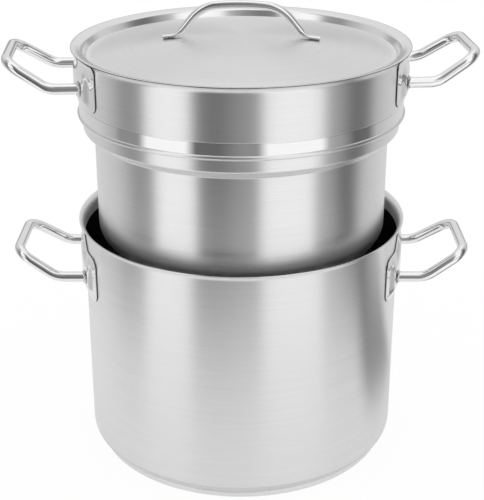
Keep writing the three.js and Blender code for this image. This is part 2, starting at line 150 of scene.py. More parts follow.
# Small forms that only the looks have, and the depth of the lighter ring below the pot's rim, which is
# painted light, in millimetres.
STEP_FILLETS = (2.5, 4)
LEDGE_FILLET = 0.7
GROOVE_DEPTH = 0.15
GROOVE_HALF = 0.4
GROOVE_SIDE = 0.3
VALLEY_DEPTH = 9.4
VALLEY_HALF = 0.9
VALLEY_SIDE = 3.6
VALLEY_FILLET = 1.2
DOME_FILLET = 3
DOME_LIFT_FROM = 95
RING_TOP_DROP = 2.2
RING_FILLET = 4
FLANGE_FILLET = 16
PLATE_EDGE = 0.45
MOUTH_DEPTH = 16
SPOT_INSET = 4.6
SPOT_RISE = 6.6
SPOT_DROP = 10
SPOT_RADIUS = 2
SPOT_DEPTH = 0.6


def smoothstep(value, low, high):
    share = min(max((value - low) / (high - low), 0.0), 1.0)
    return share * share * (3 - 2 * share)


# Points of an arc in a profile's (radius, height) plane, from one angle to another in degrees.
def arc(centre_r, centre_z, radius, from_deg, to_deg, steps):
    points = []
    for i in range(steps + 1):
        angle = math.radians(from_deg + (to_deg - from_deg) * i / steps)
        across = centre_r + radius * math.cos(angle)
        points.append(Vector((across, centre_z + radius * math.sin(angle))))
    return points


# A polyline with some of its corners rounded; bends gives a radius by corner number.
def rounded(corners, bends, steps):
    corners = [Vector(c) for c in corners]
    path = [corners[0]]
    for i in range(1, len(corners) - 1):
        bend = bends.get(i, 0.0)
        if not bend:
            path.append(corners[i])
            continue
        into = (corners[i] - corners[i - 1]).normalized()
        out = (corners[i + 1] - corners[i]).normalized()
        turn = into.angle(out)
        normal = (out - into * out.dot(into)).normalized()
        start = corners[i] - into * bend * math.tan(turn / 2)
        for j in range(steps + 1):
            angle = turn * j / steps
            sideways = normal * bend * (1 - math.cos(angle))
            path.append(start + into * bend * math.sin(angle) + sideways)
    path.append(corners[-1])
    return path


# The same path moved sideways, to the left of its direction for a positive distance.
def offset_path(path, distance):
    moved = []
    last = len(path) - 1
    for i, point in enumerate(path):
        first = (path[max(i, 1)] - path[max(i - 1, 0)]).normalized()
        second = (path[min(i + 1, last)] - path[min(i, last - 1)]).normalized()
        mitre = (first + second).normalized()
        stretch = distance / mitre.dot(first)
        moved.append(point + Vector((-mitre.y, mitre.x)) * stretch)
    return moved


# The half circle that rounds a sheet's cut edge, between its outer and its inner face.
def edge_round(outer, inner):
    centre = (outer + inner) / 2
    across = outer - centre
    along = Vector((-across.y, across.x))
    points = []
    for i in range(1, EDGE_STEPS):
        angle = math.pi * i / EDGE_STEPS
        points.append(centre + across * math.cos(angle) + along * math.sin(angle))
    return points


# A closed profile: an outer path from the axis to the rim, its rounded edge, and the inner face.
def sheet_profile(outer, thickness):
    inner = offset_path(outer, thickness)
    inner[0].x = 0.0
    return outer + edge_round(outer[-1], inner[-1]) + inner[::-1]


def new_object(name, vertices, faces, materials, face_slots=None):
    mesh = bpy.data.meshes.new(name)
    mesh.from_pydata([Vector(v) * MM for v in vertices], [], faces)
    for material in materials:
        mesh.materials.append(material)
    if face_slots:
        mesh.polygons.foreach_set("material_index", face_slots)
    mesh.polygons.foreach_set("use_smooth", [True] * len(mesh.polygons))
    mesh.validate()
    mesh.update()
    piece = bpy.data.objects.new(name, mesh)
    bpy.context.scene.collection.objects.link(piece)
    return piece


# Marks the edges of a mesh sharp where its faces turn by more than an angle.
def sharpen(piece, degrees):
    piece.data.set_sharp_from_angle(angle=math.radians(degrees))
    return piece


# A solid of revolution about Z. slot_of gives the material's number for the stretch after a point.
def lathe(name, profile, materials, slot_of=None):
    vertices = []
    rings = []
    for point in profile:
        if abs(point.x) < ON_AXIS:
            rings.append([len(vertices)] * ROUND_SEGMENTS)
            vertices.append((0.0, 0.0, point.y))
            continue
        ring = []
        for k in range(ROUND_SEGMENTS):
            angle = 2 * math.pi * k / ROUND_SEGMENTS
            ring.append(len(vertices))
            vertices.append((point.x * math.cos(angle), point.x * math.sin(angle), point.y))
        rings.append(ring)
    faces = []
    slots = []
    for i in range(len(rings) - 1):
        for k in range(ROUND_SEGMENTS):
            n = (k + 1) % ROUND_SEGMENTS
            face = [rings[i][k], rings[i][n], rings[i + 1][n], rings[i + 1][k]]
            face = list(dict.fromkeys(face))
            if len(face) > 2:
                faces.append(face)
                slots.append(slot_of(profile[i], profile[i + 1]) if slot_of else 0)
    return sharpen(new_object(name, vertices, faces, materials, slots), ROUND_SHARP_DEG)


# A tube along stations with a section that may differ from one to the next; both ends are closed.
def swept_tube(name, stations, radius, materials, shape=None):
    vertices = []
    last = len(stations) - 1
    side = None
    for i, station in enumerate(stations):
        tangent = (stations[min(i + 1, last)] - stations[max(i - 1, 0)]).normalized()
        if side is None:
            side = Vector((0, 0, 1)).cross(tangent).normalized()
        side = (side - tangent * side.dot(tangent)).normalized()
        up = tangent.cross(side)
        for k in range(TUBE_SIDES):
            angle = 2 * math.pi * k / TUBE_SIDES
            point = station + side * radius * math.cos(angle) + up * radius * math.sin(angle)
            vertices.append(shape(point, station, tangent) if shape else point)
    faces = []
    for i in range(last):
        for k in range(TUBE_SIDES):
            n = (k + 1) % TUBE_SIDES
            a, b = i * TUBE_SIDES, (i + 1) * TUBE_SIDES
            faces.append([a + k, a + n, b + n, b + k])
    faces.append(list(range(TUBE_SIDES))[::-1])
    faces.append([last * TUBE_SIDES + k for k in range(TUBE_SIDES)])
    return sharpen(new_object(name, vertices, faces, materials), TUBE_SHARP_DEG)


def lip_top(bend, turn_deg):
    return (bend + SHEET) * math.sin(math.radians(turn_deg))


def lip(wall_radius, start, bend, turn_deg):
    return arc(wall_radius + bend, start, bend, 180, 180 - turn_deg, BEND_STEPS)


# Heights and radii that the sizes above give, as in the solids.
cap_radius = POT_RADIUS - CAP_INSET
core_bottom = CAP_SHEET + CLEARANCE
pot_bottom = core_bottom + CORE_THICKNESS + CLEARANCE
pot_lip_start = POT_HEIGHT - lip_top(POT_LIP_BEND, POT_LIP_TURN_DEG)
top_band_radius = POT_RADIUS - INSERT_INSET
band_foot_radius = top_band_radius + BAND_PROUD
collar_radius = top_band_radius - COLLAR_INSET
body_radius = collar_radius - STEP_RUN
bead_centre_radius = top_band_radius + BEAD_PROUD - BEAD_BEND
bead_from = LEDGE_SLOPE_DEG - 90
bead_to = math.degrees(math.acos((band_foot_radius - bead_centre_radius) / BEAD_BEND))
ledge_run = bead_centre_radius + BEAD_BEND * math.cos(math.radians(bead_from)) - collar_radius
ledge_rise = ledge_run * math.tan(math.radians(LEDGE_SLOPE_DEG))
step_top = BODY_HEIGHT + STEP_HEIGHT
ledge_start = step_top + COLLAR_HEIGHT
bead_centre = ledge_start + ledge_rise - BEAD_BEND * math.sin(math.radians(bead_from))
band_foot = bead_centre + BEAD_BEND * math.sin(math.radians(bead_to))
crease = band_foot + BAND_HEIGHT
insert_height = crease + TOP_BAND_HEIGHT
insert_lip_start = insert_height - lip_top(INSERT_LIP_BEND, INSERT_LIP_TURN_DEG)
insert_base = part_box("insert_shell")[0].z / MM
lid_edge = insert_height + CLEARANCE + SHEET
ring_foot = lid_edge - LID_RING_RISE
valley_height = ring_foot - SHEET
slant = math.hypot(LID_RING_RUN, LID_RING_RISE)
ring_reach = INSERT_LIP_BEND + SHEET + CLEARANCE + SHEET
ring_inward = (ring_reach * slant + (insert_lip_start - ring_foot) * LID_RING_RUN) / LID_RING_RISE
ring_foot_radius = top_band_radius + INSERT_LIP_BEND - ring_inward
valley_radius = ring_foot_radius - LID_VALLEY
dome_radius = (valley_radius**2 + LID_DOME_RISE**2) / (2 * LID_DOME_RISE)


def dome_height(radius):
    return valley_height + LID_DOME_RISE - dome_radius + math.sqrt(dome_radius**2 - radius**2)


class Nodes:
    """A short way to write a node tree: each call adds a node and wires its inputs."""

    def __init__(self, tree):
        self.tree = tree
        tree.nodes.clear()

    def add(self, kind, inputs=None, **settings):
        node = self.tree.nodes.new(kind)
        for key, value in settings.items():
            setattr(node, key, value)
        for key, value in (inputs or {}).items():
            socket = node.inputs[key]
            if isinstance(value, bpy.types.NodeSocket):
                self.tree.links.new(value, socket)
            else:
                socket.default_value = value
        return node

    def math(self, operation, *values):
        node = self.add("ShaderNodeMath", operation=operation)
        for i, value in enumerate(values):
            if isinstance(value, bpy.types.NodeSocket):
                self.tree.links.new(value, node.inputs[i])
            else:
                node.inputs[i].default_value = value
        return node.outputs[0]

    def ramp(self, value, stops):
        node = self.add("ShaderNodeValToRGB", {"Fac": value})
        elements = node.color_ramp.elements
        elements[0].position = stops[0][0]
        elements[-1].position = stops[-1][0]
        for place, _ in stops[1:-1]:
            elements.new(place)
        for element, (_, colour) in zip(elements, stops):
            channels = colour if isinstance(colour, tuple) else (colour,) * 3
            element.color = (*channels, 1)
        return node.outputs["Color"]

    def remap(self, value, low, high, to_low, to_high):
        node = self.add(
            "ShaderNodeMapRange",
            {"Value": value, "From Min": low, "From Max": high, "To Min": to_low, "To Max": to_high},
        )
        return node.outputs["Result"]

    def noise(self, place, scale, detail, roughness):
        inputs = {"Vector": place, "Scale": scale, "Detail": detail, "Roughness": roughness}
        return self.add("ShaderNodeTexNoise", inputs).outputs["Fac"]

    def length(self, vector):
        return self.add("ShaderNodeVectorMath", {0: vector}, operation="LENGTH").outputs["Value"]

    # One for the rays by which metal and glass show what is round them, and zero for the others.
    def in_metal(self, rays):
        return self.math("MAXIMUM", rays.outputs["Is Glossy Ray"], rays.outputs["Is Transmission Ray"])


# Noises by scale, detail and roughness, and the range of their values that is used.
FINE_NOISE = (1.0, 3.0, 0.6)
BROAD_NOISE = (1.0, 3.0, 0.5)
HAZE_NOISE = (240.0, 4.0, 0.6)
SWELL_NOISE = (45.0, 2.0, 0.4)
NOISE_RANGE = (0.3, 0.7)
# Turning marks: the noise's scale per metre across and around them, the fine ones' share, how far they
# darken, lighten and roughen the steel, the height of their relief in metres, and the share of a full
# turn that sets the gloss across them.
FINE_ACROSS = 2200.0
FINE_AROUND = 14.0
FINE_SHARE = 0.8
BROAD_ACROSS = 420.0
BROAD_AROUND = 6.0
MARK_DARKEN = 0.05
MARK_LIGHTEN = 0.04
MARK_ROUGHEN = 0.06
MARK_HEIGHT = 0.0004
GLOSS_TURN = 0.25
# Polished steel: the range of noise over which its haze darkens it, by how much, the shares of its
# roughness between which the haze changes it, and the height of its unevenness in metres.
HAZE_RANGE = (0.35, 0.65)
HAZE_DARKEN = 0.05
HAZE_GLOSS_SHARE = 0.75
HAZE_DULL_SHARE = 1.3
SWELL_HEIGHT = 0.002


# Coordinates that run slowly round the axis and fast along the wall or radius, as turning marks do.
def turned_coordinates(nodes, across, around):
    position = nodes.add("ShaderNodeTexCoord").outputs["Object"]
    parts = nodes.add("ShaderNodeSeparateXYZ", {0: position})
    flat = nodes.add("ShaderNodeCombineXYZ", {0: parts.outputs[0], 1: parts.outputs[1]})
    reach = nodes.length(flat.outputs[0])
    along = nodes.math("MULTIPLY", nodes.math("ADD", reach, parts.outputs[2]), across)
    place = nodes.add(
        "ShaderNodeCombineXYZ",
        {
            0: nodes.math("MULTIPLY", parts.outputs[0], around),
            1: nodes.math("MULTIPLY", parts.outputs[1], around),
            2: along,
        },
    )
    return place.outputs[0]


# Steel with fine turning marks round the axis.
def brushed_steel(name, colour, roughness, anisotropy, contrast=1.0, bump=0.03):
    material = bpy.data.materials.new(name)
    material.use_nodes = True
    nodes = Nodes(material.node_tree)
    fine = nodes.noise(turned_coordinates(nodes, FINE_ACROSS, FINE_AROUND), *FINE_NOISE)
    broad = nodes.noise(turned_coordinates(nodes, BROAD_ACROSS, BROAD_AROUND), *BROAD_NOISE)
    fine_part = nodes.math("MULTIPLY", fine, FINE_SHARE)
    marks = nodes.math("ADD", fine_part, nodes.math("MULTIPLY", broad, 1 - FINE_SHARE))
    low = tuple(c * (1 - MARK_DARKEN * contrast) for c in colour)
    high = tuple(min(c * (1 + MARK_LIGHTEN * contrast), 1.0) for c in colour)
    base = nodes.ramp(marks, [(NOISE_RANGE[0], low), (NOISE_RANGE[1], high)])
    dull = roughness * (1 + MARK_ROUGHEN)
    glossy = roughness * (1 - MARK_ROUGHEN)
    rough = nodes.remap(marks, *NOISE_RANGE, dull, glossy)
    relief = nodes.add("ShaderNodeBump", {"Height": fine, "Strength": bump, "Distance": MARK_HEIGHT})
    tangent = nodes.add("ShaderNodeTangent", direction_type="RADIAL", axis="Z")
    shader = nodes.add(
        "ShaderNodeBsdfPrincipled",
        {
            "Base Color": base,
            "Metallic": 1.0,
            "Roughness": rough,
            "Anisotropic": anisotropy,
            "Anisotropic Rotation": GLOSS_TURN,
            "Normal": relief.outputs["Normal"],
            "Tangent": tangent.outputs["Tangent"],
        },
    )
    nodes.add("ShaderNodeOutputMaterial", {"Surface": shader.outputs[0]})
    return material


# Steel polished bright, with a faint haze and the unevenness of bent tube and pressed sheet.
def polished_steel(name, colour, roughness, waviness=0.02):
    material = bpy.data.materials.new(name)
    material.use_nodes = True
    nodes = Nodes(material.node_tree)
    position = nodes.add("ShaderNodeTexCoord").outputs["Object"]
    haze = nodes.noise(position, *HAZE_NOISE)
    swell = nodes.noise(position, *SWELL_NOISE)
    low = tuple(c * (1 - HAZE_DARKEN) for c in colour)
    base = nodes.ramp(haze, [(HAZE_RANGE[0], low), (HAZE_RANGE[1], colour)])
    glossy = roughness * HAZE_GLOSS_SHARE
    dull = roughness * HAZE_DULL_SHARE
    rough = nodes.remap(haze, *NOISE_RANGE, glossy, dull)
    unevenness = {"Height": swell, "Strength": waviness, "Distance": SWELL_HEIGHT}
    relief = nodes.add("ShaderNodeBump", unevenness)
    shader = nodes.add(
        "ShaderNodeBsdfPrincipled",
        {
            "Base Color": base,
            "Metallic": 1.0,
            "Roughness": rough,
            "Normal": relief.outputs["Normal"],
        },
    )
    nodes.add("ShaderNodeOutputMaterial", {"Surface": shader.outputs[0]})
    return material


# The steel round the lid's cut edge and round the brackets' cut edges is dark: painted shade for the
# shadowed gaps at those edges.
# The ring below the pot's rim is lighter and duller than the rest of its inside: painted light, so that
# the insert's wall shows light over the rim. The inside of the pot and of the insert is darker than the
# outside: painted shade.
wall_steel = brushed_steel("wall_steel", (0.9, 0.9, 0.902), 0.31, 0.85)
lid_steel = brushed_steel("lid_steel", (0.9, 0.9, 0.902), 0.32, 0.8)
insert_steel = brushed_steel("insert_steel", (0.9, 0.9, 0.902), 0.29, 0.8)
inside_painted_shade = brushed_steel("inside_painted_shade", (0.75, 0.75, 0.753), 0.16, 0.3)
mouth_painted_light = brushed_steel("mouth_painted_light", (0.97, 0.97, 0.972), 0.6, 0.2)
ring_steel = brushed_steel("ring_steel", (0.95, 0.95, 0.952), 0.19, 0.5, contrast=0.6)
rim_painted_shade = brushed_steel("rim_painted_shade", (0.18, 0.18, 0.182), 0.14, 0.3, contrast=0.4)
edge_painted_shade = brushed_steel("edge_painted_shade", (0.2, 0.2, 0.202), 0.45, 0.3)
band_steel = brushed_steel("band_steel", (0.92, 0.92, 0.922), 0.1, 0.6, contrast=0.3, bump=0.01)
bright_steel = polished_steel("bright_steel", (0.97, 0.97, 0.972), 0.08)
plate_steel = polished_steel("plate_steel", (0.9, 0.9, 0.902), 0.1)
weld_steel = polished_steel("weld_steel", (0.74, 0.74, 0.742), 0.2, waviness=0.3)
base_steel = brushed_steel("base_steel", (0.95, 0.95, 0.952), 0.3, 0.6)
core_metal = brushed_steel("core_metal", (0.62, 0.63, 0.64), 0.5, 0.3)


def dress(piece, body, slot, *nodes):
    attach(piece, body)
    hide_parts(*nodes)
    return piece


def make_pot():
    outer = [Vector((0, pot_bottom))]
    outer += arc(POT_RADIUS - POT_CORNER, pot_bottom + POT_CORNER, POT_CORNER, -90, 0, BEND_STEPS)
    outer += lip(POT_RADIUS, pot_lip_start, POT_LIP_BEND, POT_LIP_TURN_DEG)
    profile = sheet_profile(outer, SHEET)
    inner_radius = POT_RADIUS - SHEET
    on_wall = [i for i, point in enumerate(profile) if abs(point.x - inner_radius) < ON_FACE]
    wall_top = max(i for i in on_wall if profile[i].y > POT_HEIGHT / 2)
    profile.insert(wall_top + 1, Vector((inner_radius, POT_HEIGHT - MOUTH_DEPTH)))

    # Inside faces take darker steel than the outside: painted shade.
    def slot_of(a, b):
        middle = (a + b) / 2
        if middle.x > POT_RADIUS - SHEET / 2 or middle.y < pot_bottom + SHEET / 2:
            return 0
        # The ring below the rim takes lighter, duller steel: painted light, so that the insert's wall
        # shows light over the rim.
        return 2 if middle.y > POT_HEIGHT - MOUTH_DEPTH else 1

    shell = lathe("pot_shell_fine", profile, [wall_steel, inside_painted_shade, mouth_painted_light], slot_of)
    dress(shell, "pot", "satin_steel", "pot_shell")

    inward = cap_radius - CAP_SHEET - (POT_RADIUS - POT_CORNER)
    cap_top = pot_bottom + POT_CORNER - math.sqrt(POT_CORNER**2 - inward**2) - CLEARANCE
    cap = [Vector((0, 0))]
    cap += arc(cap_radius - CAP_CORNER, CAP_CORNER, CAP_CORNER, -90, 0, BEND_STEPS)
    cap.append(Vector((cap_radius, cap_top)))
    dish = lathe("pot_base_cap_fine", sheet_profile(cap, CAP_SHEET), [base_steel])
    dress(dish, "pot", "satin_steel", "pot_base_cap")


def make_insert():
    lower = rounded(
        [
            (body_radius, BODY_HEIGHT / 2),
            (body_radius, BODY_HEIGHT),
            (collar_radius, step_top),
            (collar_radius, ledge_start),
            (collar_radius + ledge_run, ledge_start + ledge_rise),
        ],
        {1: STEP_FILLETS[0], 2: STEP_FILLETS[1], 3: LEDGE_FILLET},
        BEND_STEPS,
    )
    groove = []
    groove_end = GROOVE_HALF + GROOVE_SIDE
    for place in (-groove_end, -GROOVE_HALF, 0, GROOVE_HALF, groove_end):
        radius = top_band_radius + max(-place, 0) * BAND_PROUD / BAND_HEIGHT
        groove.append(Vector((radius if place else radius - GROOVE_DEPTH, crease + place)))
    outer = [Vector((0, 0))]
    outer += arc(body_radius - INSERT_CORNER, INSERT_CORNER, INSERT_CORNER, -90, 0, BEND_STEPS)
    outer += lower[1:-1]
    outer += arc(bead_centre_radius, bead_centre, BEAD_BEND, bead_from, bead_to, BEND_STEPS)
    outer += groove
    outer += lip(top_band_radius, insert_lip_start, INSERT_LIP_BEND, INSERT_LIP_TURN_DEG)
    profile = sheet_profile(outer, SHEET)
    seen_from_outside = {tuple(p) for p in outer}

    # Inside faces take darker steel than the outside: painted shade.
    def slot_of(a, b):
        middle = (a + b) / 2
        on_outside = tuple(a) in seen_from_outside and tuple(b) in seen_from_outside
        if not on_outside:
            return 1
        return 2 if band_foot < middle.y < crease else 0

    shell = lathe("insert_shell_fine", profile, [insert_steel, inside_painted_shade, band_steel], slot_of)
    shell.data.transform(Matrix.Translation((0, 0, insert_base * MM)))
    dress(shell, "insert", "satin_steel", "insert_shell")


def make_lid():
    # The dome's foot is lifted a little over the solid's, so that it meets the rounded valley that
    # parts it from the ring, and the ring rolls over into the flange.
    valley = lid_edge - VALLEY_DEPTH
    dome_edge = valley_radius - VALLEY_HALF - VALLEY_SIDE
    lift = valley + VALLEY_SIDE / 2 - dome_height(dome_edge)
    top = []
    for i in range(DOME_STEPS + 1):
        radius = dome_edge * i / DOME_STEPS
        rise = lift * smoothstep(radius, DOME_LIFT_FROM, dome_edge)
        top.append(Vector((radius, dome_height(radius) + rise)))
    flange_start = ring_foot_radius + LID_RING_RUN
    ring = rounded(
        [
            top[-2],
            top[-1],
            (valley_radius - VALLEY_HALF, valley),
            (valley_radius + VALLEY_HALF, valley),
            (valley_radius + VALLEY_HALF + VALLEY_SIDE, lid_edge - RING_TOP_DROP),
            (flange_start, lid_edge),
            (flange_start + LID_FLANGE, lid_edge),
        ],
        {1: DOME_FILLET, 2: VALLEY_FILLET, 3: VALLEY_FILLET, 4: RING_FILLET, 5: FLANGE_FILLET},
        BEND_STEPS,
    )
    top = top[:-1] + ring[1:]
    under = offset_path(top, -SHEET)
    under[0].x = 0.0
    profile = under + edge_round(under[-1], top[-1]) + top[::-1]

    # The lid's cut edge takes dark steel: painted shade for the shadowed gap under it.
    def slot_of(a, b):
        middle = (a + b) / 2
        if middle.x > flange_start + LID_FLANGE - SHEET / 4 and middle.y < lid_edge:
            return 1
        return 2 if middle.x > dome_edge else 0

    pan = lathe("lid_pan_fine", profile, [lid_steel, rim_painted_shade, ring_steel], slot_of)
    pan.data.transform(Matrix.Translation((0, 0, insert_base * MM)))
    dress(pan, "lid", "satin_steel", "lid_pan")


def make_lid_handle():
    foot_rise = LID_FOOT_THICKNESS / 2 + CLEARANCE
    knee = LID_HANDLE_HALF - LID_FOOT
    knee_height = dome_height(knee) + foot_rise
    shoulder_height = knee_height + LID_LEG_RISE
    half = [
        Vector((LID_HANDLE_HALF, 0, dome_height(LID_HANDLE_HALF) + foot_rise)),
        Vector((knee, 0, knee_height)),
        Vector((knee - LID_LEG_RUN, 0, shoulder_height)),
    ]
    mirrored = [Vector((-p.x, 0, p.z)) for p in half[::-1]]
    crown = Vector((0, 0, shoulder_height + LID_ARCH_RISE))
    side_bends = [LID_KNEE_BEND, LID_SHOULDER_BEND]
    bends = dict(enumerate([*side_bends, LID_ARCH_BEND, *side_bends[::-1]], start=1))
    stations = rounded([*half, crown, *mirrored], bends, BEND_STEPS)
    stations = subdivided(stations, STATION_GAP)

    def shape(point, centre, tangent):
        share = smoothstep(abs(centre.x), knee - LID_TUBE_RADIUS, knee + LID_TUBE_RADIUS)
        thin = LID_FOOT_THICKNESS / (2 * LID_TUBE_RADIUS)
        wide = LID_FOOT_WIDTH / (2 * LID_TUBE_RADIUS)
        normal = Vector((-tangent.z, 0, tangent.x))
        proud = (point - centre).dot(normal)
        moved = point + normal * proud * (thin - 1) * share
        moved.y *= 1 + (wide - 1) * share
        return moved

    handle = swept_tube("lid_handle_fine", stations, LID_TUBE_RADIUS, [bright_steel], shape)
    turn = Matrix.Rotation(math.radians(LID_TURN_DEG), 4, "Z")
    handle.data.transform(turn @ Matrix.Translation((0, 0, insert_base * MM)))
    dress(handle, "lid", "polished_steel", "lid_handle")


# Adds stations along the straight stretches, so that a changing section stays smooth.
def subdivided(stations, longest):
    path = [stations[0]]
    for point in stations[1:]:
        start = path[-1]
        count = max(math.ceil((point - start).length / longest), 1)
        for i in range(1, count + 1):
            path.append(start.lerp(point, i / count))
    return path


def bracket_face(wall_radius):
    return wall_radius + CLEARANCE + BRACKET_RAISE + BRACKET_SHEET


def wall_reach(radius, side):
    return math.sqrt(radius**2 - side**2)


def side_handle(name, wall_radius):
    root = bracket_face(wall_radius) + CLEARANCE
    root_reach = wall_reach(root, LEG_SPACING / 2)
    bend_reach = wall_radius + LEG_LENGTH
    half = [
        Vector((root_reach, LEG_SPACING / 2, 0)),
        Vector((bend_reach, LEG_SPACING / 2, 0)),
        Vector((bend_reach + GRIP_RUN, GRIP_SPACING / 2, GRIP_RISE)),
    ]
    mirrored = [Vector((p.x, -p.y, p.z)) for p in half[::-1]]
    bends = {1: LEG_BEND, 2: GRIP_BEND, 3: GRIP_BEND, 4: LEG_BEND}
    stations = rounded([*half, *mirrored], bends, BEND_STEPS)

    def shape(point, centre, tangent):
        if centre.x < root_reach + CLEARANCE:
            point.x = wall_reach(root, point.y)
        return point

    return swept_tube(name, stations, TUBE_RADIUS, [bright_steel], shape)


# The fillet of weld round one leg: hollow in section, laid on the bracket's face.
def leg_weld(name, wall_radius, side):
    face = bracket_face(wall_radius) + CLEARANCE
    bore = TUBE_RADIUS + CLEARANCE / 2
    section = [(bore, 0.0), (bore + WELD_LEG, 0.0)]
    for i in range(1, EDGE_STEPS + 1):
        angle = math.pi / 2 * i / EDGE_STEPS
        section.append((bore + WELD_LEG * (1 - math.sin(angle)), WELD_LEG * (1 - math.cos(angle))))
    vertices = []
    for k in range(TUBE_SIDES):
        angle = 2 * math.pi * k / TUBE_SIDES
        for reach, rise in section:
            y = reach * math.cos(angle) + side * LEG_SPACING / 2
            vertices.append((wall_reach(face, y) + rise, y, reach * math.sin(angle)))
    faces = []
    count = len(section)
    for k in range(TUBE_SIDES):
        n = (k + 1) % TUBE_SIDES
        for i in range(count):
            j = (i + 1) % count
            faces.append([k * count + i, k * count + j, n * count + j, n * count + i][::-1])
    return sharpen(new_object(name, vertices, faces, [weld_steel]), PLATE_SHARP_DEG)


def bracket_outline(flange, foot, shoulder, crest, lip_start, lip_bend):
    land = TUBE_RADIUS + CLEARANCE + WELD_LEG + BRACKET_LAND
    raised_half = LEG_SPACING / 2 + land + BRACKET_SLOPE
    raised_below = land + BRACKET_FOOT_SLOPE
    return {
        "raised_half": raised_half,
        "raised_below": raised_below,
        "half_width": raised_half + flange,
        "below": raised_below + foot,
        "shoulder": shoulder,
        "crest": crest,
        "lip_start": lip_start,
        "lip_bend": lip_bend,
    }


def fall(distance, end, slope):
    return 1 - smoothstep(distance, end - slope, end)


def bracket_top(bracket, along):
    crest = fall(abs(along), CREST_HALF + CREST_SLOPE, CREST_SLOPE)
    return bracket["shoulder"] + (bracket["crest"] - bracket["shoulder"]) * crest


def bracket_edges(bracket, along):
    over_corner = max(abs(along) - (bracket["half_width"] - BRACKET_CORNER), 0)
    inset = BRACKET_CORNER - math.sqrt(max(BRACKET_CORNER**2 - over_corner**2, 0))
    return -bracket["below"] + inset, bracket_top(bracket, along) - inset


# How deep the spot welds near the plate's ends dent its face.
def spot_dent(bracket, along, height):
    dent = 0.0
    spot_along = bracket["half_width"] - SPOT_INSET
    for spot_height in (SPOT_RISE - bracket["below"], bracket["lip_start"] - SPOT_DROP):
        gap = math.hypot(abs(along) - spot_along, height - spot_height)
        dent += SPOT_DEPTH * (1 - smoothstep(gap, 0.0, SPOT_RADIUS))
    return dent


# Shares of a plate's height at which its rows lie, closer together near both edges.
def row_shares(height):
    near = [gap / height for gap in EDGE_ROWS]
    rows = list(near)
    for i in range(1, PLATE_ROWS):
        share = i / PLATE_ROWS
        if near[-1] < share < 1 - near[-1]:
            rows.append(share)
    rows += [1 - share for share in near[::-1]]
    return rows


def plate_columns(bracket):
    columns = [bracket["half_width"] - gap for gap in EDGE_ROWS]
    for i in range(1, CORNER_STEPS):
        angle = math.pi / 2 * (1 - i / CORNER_STEPS)
        place = bracket["half_width"] - BRACKET_CORNER * (1 - math.sin(angle))
        if place < columns[-1]:
            columns.append(place)
    straight = bracket["half_width"] - BRACKET_CORNER
    middle = [-straight + 2 * straight * i / PLATE_COLUMNS for i in range(PLATE_COLUMNS + 1)]
    return [-place for place in columns] + middle + columns[::-1]


def plate_point(wall_radius, bracket, along, height, gap, front):
    head = min(bracket_top(bracket, along), bracket["lip_start"])
    across = fall(abs(along), bracket["raised_half"], BRACKET_SLOPE)
    down = fall(-height, bracket["raised_below"], BRACKET_FOOT_SLOPE)
    up = fall(height, head, BRACKET_HEAD_SLOPE)
    depth = 0.0
    if front:
        edge = max(PLATE_EDGE - gap, 0.0)
        drop = PLATE_EDGE - math.sqrt(max(PLATE_EDGE**2 - edge**2, 0.0))
        depth = BRACKET_SHEET - drop - spot_dent(bracket, along, height)
    bend = bracket["lip_bend"] - CLEARANCE
    curl = max(height - bracket["lip_start"], 0.0) / (bend - BRACKET_SHEET / 2)
    outward = (bend - depth) * (1 - math.cos(curl))
    radius = wall_radius + CLEARANCE + depth + BRACKET_RAISE * across * down * up + outward
    angle = along / wall_radius
    z = min(height, bracket["lip_start"]) + (bend - depth) * math.sin(curl)
    return (radius * math.cos(angle), radius * math.sin(angle), z)


def handle_bracket(name, wall_radius, bracket):
    columns = plate_columns(bracket)
    shares = row_shares(bracket["shoulder"] + bracket["below"])
    row_count = len(shares)
    vertices = []
    for front in (False, True):
        for along in columns:
            low, high = bracket_edges(bracket, along)
            for share in shares:
                height = low + (high - low) * share
                gap = min(height - low, high - height, bracket["half_width"] - abs(along))
                vertices.append(plate_point(wall_radius, bracket, along, height, gap, front))
    layer = len(columns) * row_count
    faces = []
    for column in range(len(columns) - 1):
        for row in range(row_count - 1):
            a = column * row_count + row
            b = a + row_count
            faces.append([a, a + 1, b + 1, b])
            faces.append([layer + a, layer + b, layer + b + 1, layer + a + 1])
    border = [c * row_count for c in range(len(columns) - 1)]
    border += [(len(columns) - 1) * row_count + r for r in range(row_count - 1)]
    border += [c * row_count + row_count - 1 for c in range(len(columns) - 1, 0, -1)]
    border += list(range(row_count - 1, 0, -1))
    # The plate's cut edges take dark steel: painted shade for the shadowed gap along them.
    slots = [0] * len(faces) + [1] * len(border)
    for i, start in enumerate(border):
        end = border[(i + 1) % len(border)]
        faces.append([start, end, layer + end, layer + start])
    return sharpen(new_object(name, vertices, faces, [plate_steel, edge_painted_shade], slots), PLATE_SHARP_DEG)


def make_handles(owner, wall_radius, bracket, height, turn_deg):
    for side, turn, front in (("right", 0, -1), ("left", 180, 1)):
        place = Matrix.Rotation(math.radians(turn + turn_deg), 4, "Z")
        place = Matrix.Translation((0, 0, height * MM)) @ place
        kinds = ("bracket", "handle", "front_weld", "rear_weld")
        names = [f"{owner}_{side}_{kind}" for kind in kinds]
        made = [
            (handle_bracket(f"{names[0]}_fine", wall_radius, bracket), "polished_steel"),
            (side_handle(f"{names[1]}_fine", wall_radius), "polished_steel"),
            (leg_weld(f"{names[2]}_fine", wall_radius, front), "weld_steel"),
            (leg_weld(f"{names[3]}_fine", wall_radius, -front), "weld_steel"),
        ]
        for node, (piece, slot) in zip(names, made):
            piece.data.transform(place)
            dress(piece, owner, slot, node)


